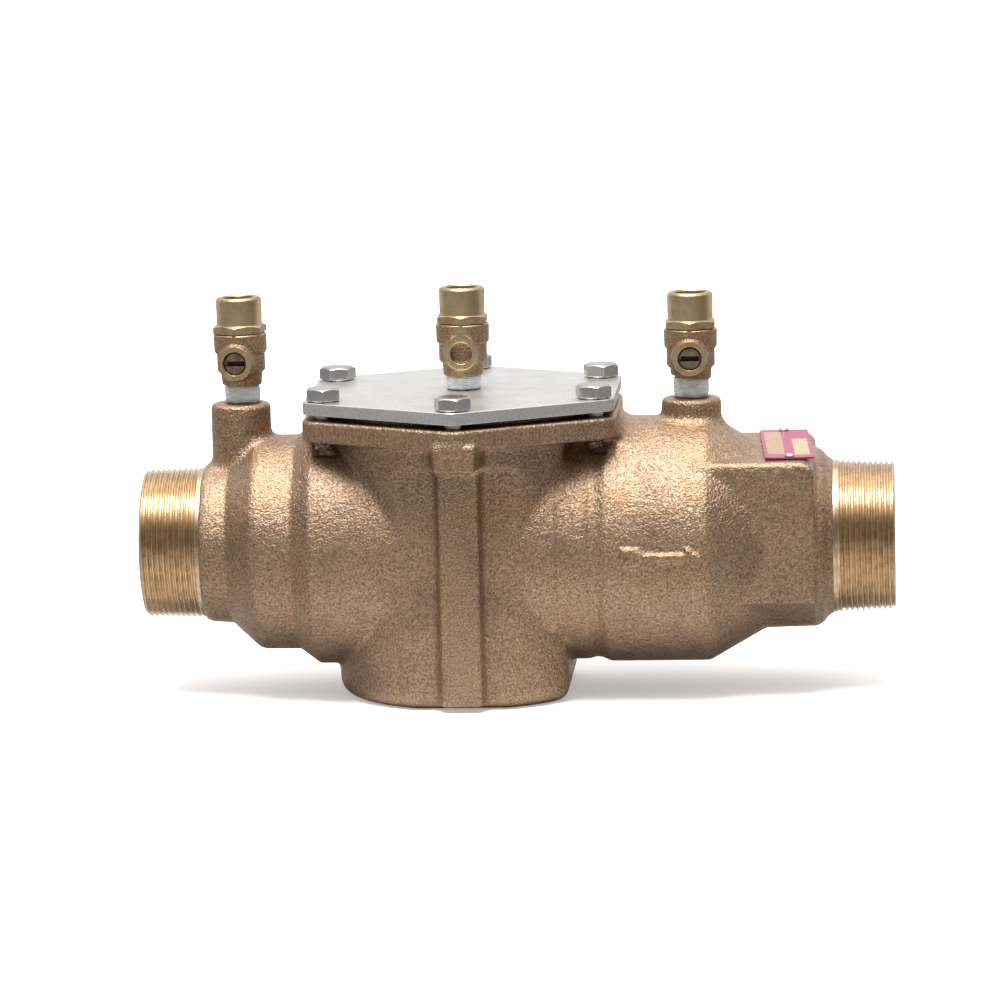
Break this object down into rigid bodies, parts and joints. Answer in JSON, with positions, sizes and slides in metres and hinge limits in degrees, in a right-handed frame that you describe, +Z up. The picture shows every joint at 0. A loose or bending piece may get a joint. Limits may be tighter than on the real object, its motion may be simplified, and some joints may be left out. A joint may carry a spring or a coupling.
{
  "type": "backflow preventer",
  "caption": "Double check backflow preventer with a bronze body, male pipe threads, a bolted hexagonal cover, ball test cocks and spring loaded check modules.",
  "frame": {"origin": "on the base plane, below the middle of the bore", "axes": "+X along the bore in the direction of flow, +Z up through the cover, so the front with the arrow faces -Y"},
  "size_m": [0.305, 0.1428, 0.1652],
  "materials": {
    "cast_bronze": "sand cast, matt with a fine grain",
    "cock_bronze": "sand cast, fine grain",
    "machined_brass": "turned, satin",
    "stainless_cover": "matt rolled plate",
    "stainless_bolt": "cold headed, satin",
    "spring_steel": "drawn wire",
    "chromed_ball": "polished",
    "rubber": "moulded",
    "check_plastic": "moulded, glass filled",
    "seal_plastic": "turned fluoropolymer",
    "thread_tape": "wrapped tape",
    "nameplate": "printed foil, blank fields",
    "rivet": "drive rivet"
  },
  "bodies": {
    "valve": {"body_casting": "cast_bronze", "cover_plate": "stainless_cover", "cover_bolt_1": "stainless_bolt", "cover_bolt_2": "stainless_bolt", "cover_bolt_3": "stainless_bolt", "cover_bolt_4": "stainless_bolt", "cover_bolt_5": "stainless_bolt", "cover_bolt_6": "stainless_bolt", "cover_o_ring": "rubber", "nameplate": "nameplate", "nameplate_rivet_front": "rivet", "nameplate_rivet_back": "rivet", "inlet_cock_body": "cock_bronze", "inlet_cock_adapter": "machined_brass", "inlet_cock_lower_seat": "seal_plastic", "inlet_cock_upper_seat": "seal_plastic", "inlet_cock_thread_tape": "thread_tape", "middle_cock_body": "cock_bronze", "middle_cock_adapter": "machined_brass", "middle_cock_lower_seat": "seal_plastic", "middle_cock_upper_seat": "seal_plastic", "middle_cock_thread_tape": "thread_tape", "outlet_cock_body": "cock_bronze", "outlet_cock_adapter": "machined_brass", "outlet_cock_lower_seat": "seal_plastic", "outlet_cock_upper_seat": "seal_plastic", "outlet_cock_thread_tape": "thread_tape", "first_check_seat_ring": "check_plastic", "first_check_cage": "check_plastic", "first_check_seat_o_ring": "rubber", "first_check_spring": "spring_steel", "second_check_seat_ring": "check_plastic", "second_check_cage": "check_plastic", "second_check_seat_o_ring": "rubber", "second_check_spring": "spring_steel", "module_spacer": "check_plastic"},
    "inlet_cock_plug": {"inlet_cock_ball": "chromed_ball", "inlet_cock_stem": "machined_brass", "inlet_cock_stem_o_ring": "rubber"},
    "middle_cock_plug": {"middle_cock_ball": "chromed_ball", "middle_cock_stem": "machined_brass", "middle_cock_stem_o_ring": "rubber"},
    "outlet_cock_plug": {"outlet_cock_ball": "chromed_ball", "outlet_cock_stem": "machined_brass", "outlet_cock_stem_o_ring": "rubber"},
    "first_poppet": {"first_check_disc_holder": "check_plastic", "first_check_rubber_disc": "rubber", "first_check_disc_retainer": "stainless_bolt", "first_check_disc_screw": "stainless_bolt"},
    "second_poppet": {"second_check_disc_holder": "check_plastic", "second_check_rubber_disc": "rubber", "second_check_disc_retainer": "stainless_bolt", "second_check_disc_screw": "stainless_bolt"}
  },
  "joints": [
    {"name": "inlet_cock_turn", "type": "hinge", "parent": "valve", "child": "inlet_cock_plug", "pos_m": [-0.11329, -0.01151, 0.13627], "axis": [-0.1218, -0.9925, -0.0021], "range_deg": [0, 90]},
    {"name": "middle_cock_turn", "type": "hinge", "parent": "valve", "child": "middle_cock_plug", "pos_m": [-0.0214, 0.0116, 0.1393], "axis": [0, 1, 0], "range_deg": [0, 90]},
    {"name": "outlet_cock_turn", "type": "hinge", "parent": "valve", "child": "outlet_cock_plug", "pos_m": [0.0708, -0.0116, 0.136], "axis": [0, -1, 0], "range_deg": [0, 90]},
    {"name": "first_check_lift", "type": "slide", "parent": "valve", "child": "first_poppet", "axis": [1, 0, 0], "range_m": [0, 0.011], "stiffness_N_per_m": 1200, "springref_m": -0.0117, "deforming": ["first_check_spring"]},
    {"name": "second_check_lift", "type": "slide", "parent": "valve", "child": "second_poppet", "axis": [1, 0, 0], "range_m": [0, 0.011], "stiffness_N_per_m": 1200, "springref_m": -0.0117, "deforming": ["second_check_spring"]}
  ]
}
